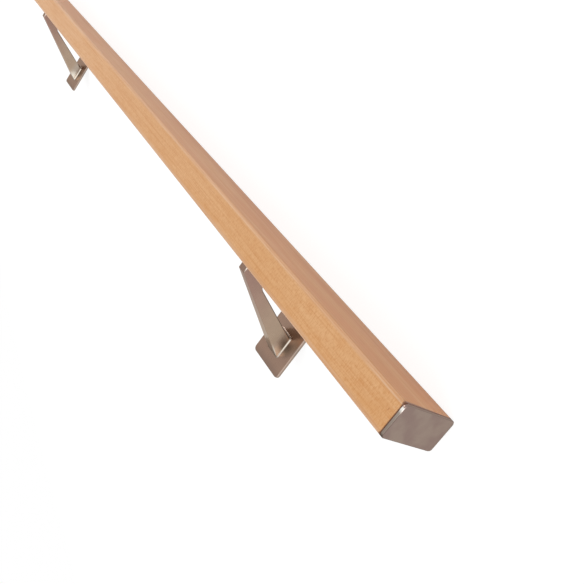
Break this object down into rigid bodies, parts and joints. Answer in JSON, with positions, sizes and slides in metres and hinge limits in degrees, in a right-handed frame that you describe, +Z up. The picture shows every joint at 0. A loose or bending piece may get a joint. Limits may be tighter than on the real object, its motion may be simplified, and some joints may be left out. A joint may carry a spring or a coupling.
{
  "type": "stair handrail with wall brackets",
  "caption": "Rectangular beech wall handrail with rounded arrises, flush satin nickel end caps and tapered nickel brackets on square wall plates.",
  "frame": {"origin": "on the floor under the middle of the whole handrail as it lies", "axes": "+X along the rail from the end cap in the picture to the far one, +Z up as it lies on its back, -Y the side its top and front face"},
  "size_m": [2.407, 0.1776, 0.0743],
  "materials": {
    "beech": "clear satin lacquer over planed beech",
    "cap_nickel": "satin nickel plate",
    "bracket_nickel": "satin nickel plate over a casting",
    "plated_steel": "plain zinc plated steel"
  },
  "bodies": {
    "root": {"rail": "beech", "end_cap_near": "cap_nickel", "end_cap_far": "cap_nickel", "bracket_1": "bracket_nickel", "saddle_plate_1": "plated_steel", "bracket_2": "bracket_nickel", "saddle_plate_2": "plated_steel", "bracket_3": "bracket_nickel", "saddle_plate_3": "plated_steel"}
  },
  "joints": []
}
